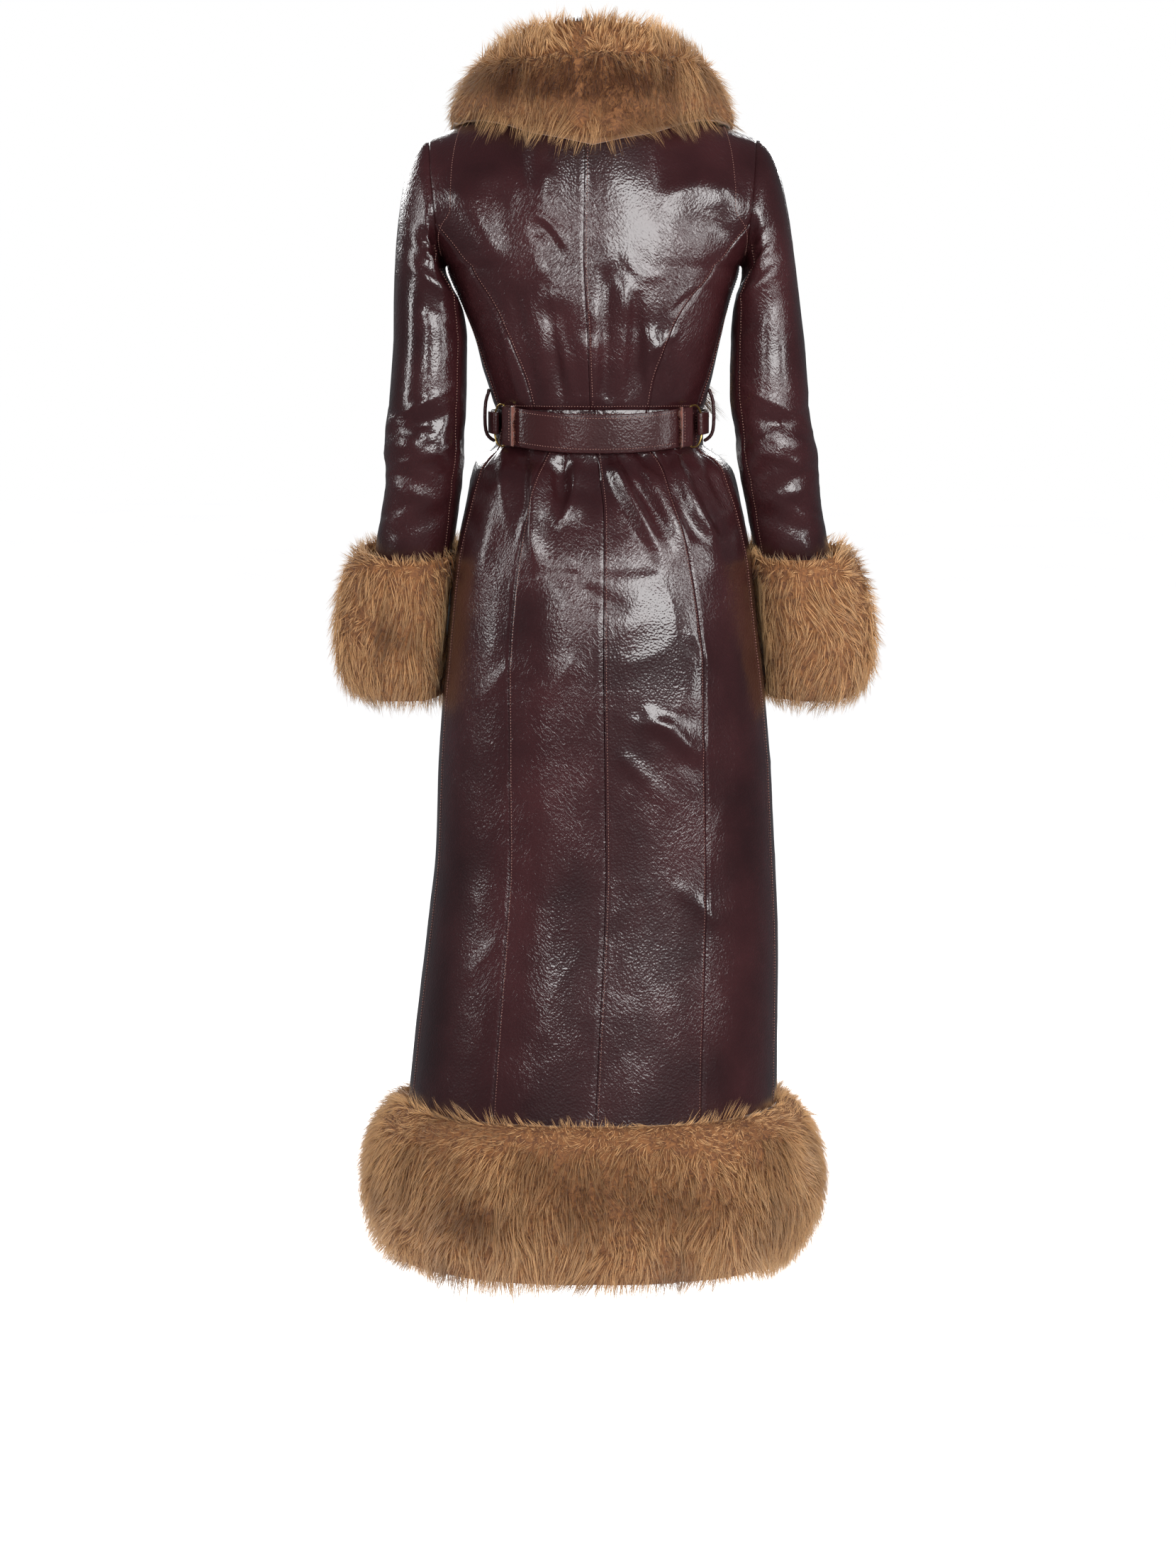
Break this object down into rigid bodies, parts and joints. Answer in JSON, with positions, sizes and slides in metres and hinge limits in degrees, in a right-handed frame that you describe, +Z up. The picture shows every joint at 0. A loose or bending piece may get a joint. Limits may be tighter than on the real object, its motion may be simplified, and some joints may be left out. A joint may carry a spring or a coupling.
{
  "type": "shearling coat",
  "caption": "Full-length belted coat of glossy dark leather panels with a long-pile fur shawl collar, cuffs and hem, hollow as worn.",
  "frame": {"origin": "middle of the neck base, level with the neck ends of the shoulder seams, where the wearer's shoulders hold the coat", "axes": "+Z up along the body, -Y to the coat's front, +Y to its back, +X to the coat's own left side"},
  "size_m": [0.6178, 0.4888, 1.376],
  "materials": {
    "glossy_leather": "glossy, coated, dark burgundy brown",
    "belt_leather": "glossy, coated, dark burgundy brown, raw rust-brown edges",
    "brown_fur": "long soft pile, brown with darker and lighter patches",
    "brass_wire": "polished, gold coloured"
  },
  "bodies": {
    "root": {"bodice_back_centre_left": "glossy_leather", "bodice_back_side_left": "glossy_leather", "bodice_front_left": "glossy_leather", "skirt_back_centre_left": "glossy_leather", "skirt_back_side_left": "glossy_leather", "skirt_front_left": "glossy_leather", "sleeve_under_left": "glossy_leather", "sleeve_upper_left": "glossy_leather", "bodice_back_centre_right": "glossy_leather", "bodice_back_side_right": "glossy_leather", "bodice_front_right": "glossy_leather", "skirt_back_centre_right": "glossy_leather", "skirt_back_side_right": "glossy_leather", "skirt_front_right": "glossy_leather", "sleeve_under_right": "glossy_leather", "sleeve_upper_right": "glossy_leather", "belt_back": "belt_leather", "belt_strap_left": "belt_leather", "belt_strap_right": "belt_leather", "belt_keeper": "belt_leather", "belt_loop_left": "belt_leather", "belt_loop_right": "belt_leather", "fur_cuff_left": "brown_fur", "fur_cuff_right": "brown_fur", "fur_hem_band": "brown_fur", "fur_shawl_collar": "brown_fur", "fur_front_trim": "brown_fur", "d_ring_left": "brass_wire", "d_ring_right": "brass_wire", "front_ring": "brass_wire"}
  },
  "joints": []
}
